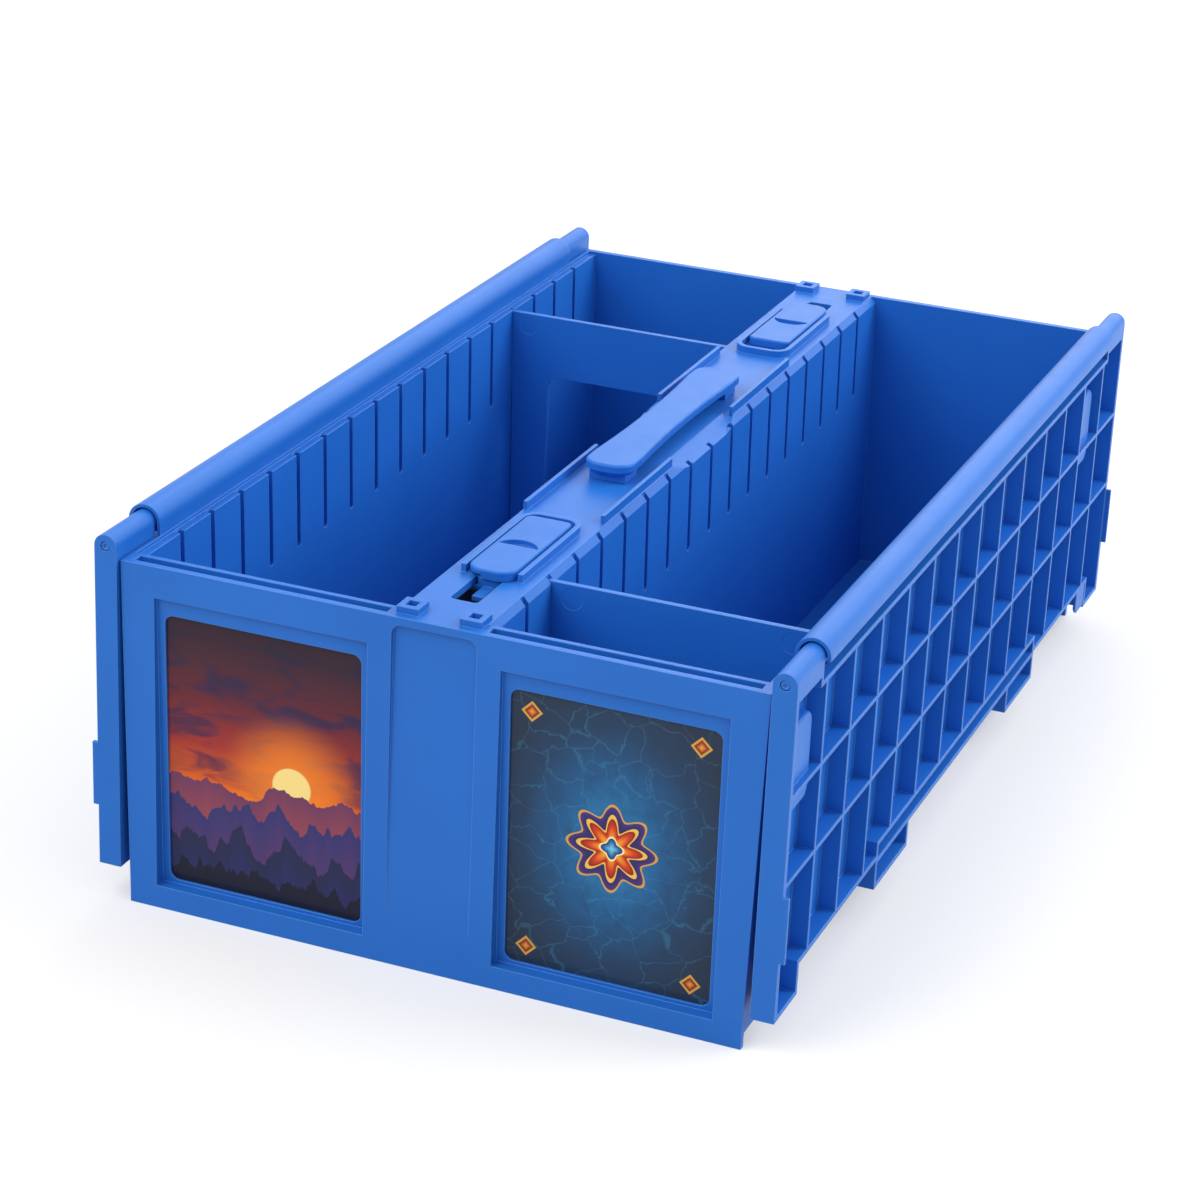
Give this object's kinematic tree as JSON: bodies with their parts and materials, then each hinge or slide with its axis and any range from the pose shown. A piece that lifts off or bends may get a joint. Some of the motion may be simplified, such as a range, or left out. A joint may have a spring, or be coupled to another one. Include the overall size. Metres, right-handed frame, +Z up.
{
  "type": "card storage bin",
  "caption": "Two-row card storage bin with hinged ribbed half lids, sliding lid latches, a lift handle, movable dividers and display cards behind front windows.",
  "frame": {"origin": "on the ground under the middle of the bin", "axes": "+X to the right seen from the front, +Y from front to back, +Z up"},
  "size_m": [0.2246, 0.3648, 0.1229],
  "materials": {
    "blue_polypropylene": "satin",
    "display_card": "glossy"
  },
  "bodies": {
    "bin": {"bin_body": "blue_polypropylene", "hinge_pin_right_rear": "blue_polypropylene", "hinge_pin_right_front": "blue_polypropylene", "hinge_pin_left_rear": "blue_polypropylene", "hinge_pin_left_front": "blue_polypropylene", "divider_right": "blue_polypropylene", "divider_left": "blue_polypropylene", "display_card_right": "display_card", "display_card_left": "display_card"},
    "right_lid": {"lid_right": "blue_polypropylene"},
    "left_lid": {"lid_left": "blue_polypropylene"},
    "front_latch": {"latch_front": "blue_polypropylene"},
    "rear_latch": {"latch_rear": "blue_polypropylene"},
    "carry_handle": {"handle": "blue_polypropylene"}
  },
  "joints": [
    {"name": "right_lid_hinge", "type": "hinge", "parent": "bin", "child": "right_lid", "pos_m": [0.1068, 0, 0.1175], "axis": [0, -1, 0], "range_deg": [0, 270]},
    {"name": "left_lid_hinge", "type": "hinge", "parent": "bin", "child": "left_lid", "pos_m": [-0.1068, 0, 0.1175], "axis": [0, 1, 0], "range_deg": [0, 270]},
    {"name": "front_latch_slide", "type": "slide", "parent": "bin", "child": "front_latch", "axis": [0, -1, 0], "range_m": [0, 0.01]},
    {"name": "rear_latch_slide", "type": "slide", "parent": "bin", "child": "rear_latch", "axis": [0, 1, 0], "range_m": [-0.005, 0.005]},
    {"name": "handle_lift", "type": "slide", "parent": "bin", "child": "carry_handle", "axis": [0, 0, 1], "range_m": [0, 0.02]}
  ]
}
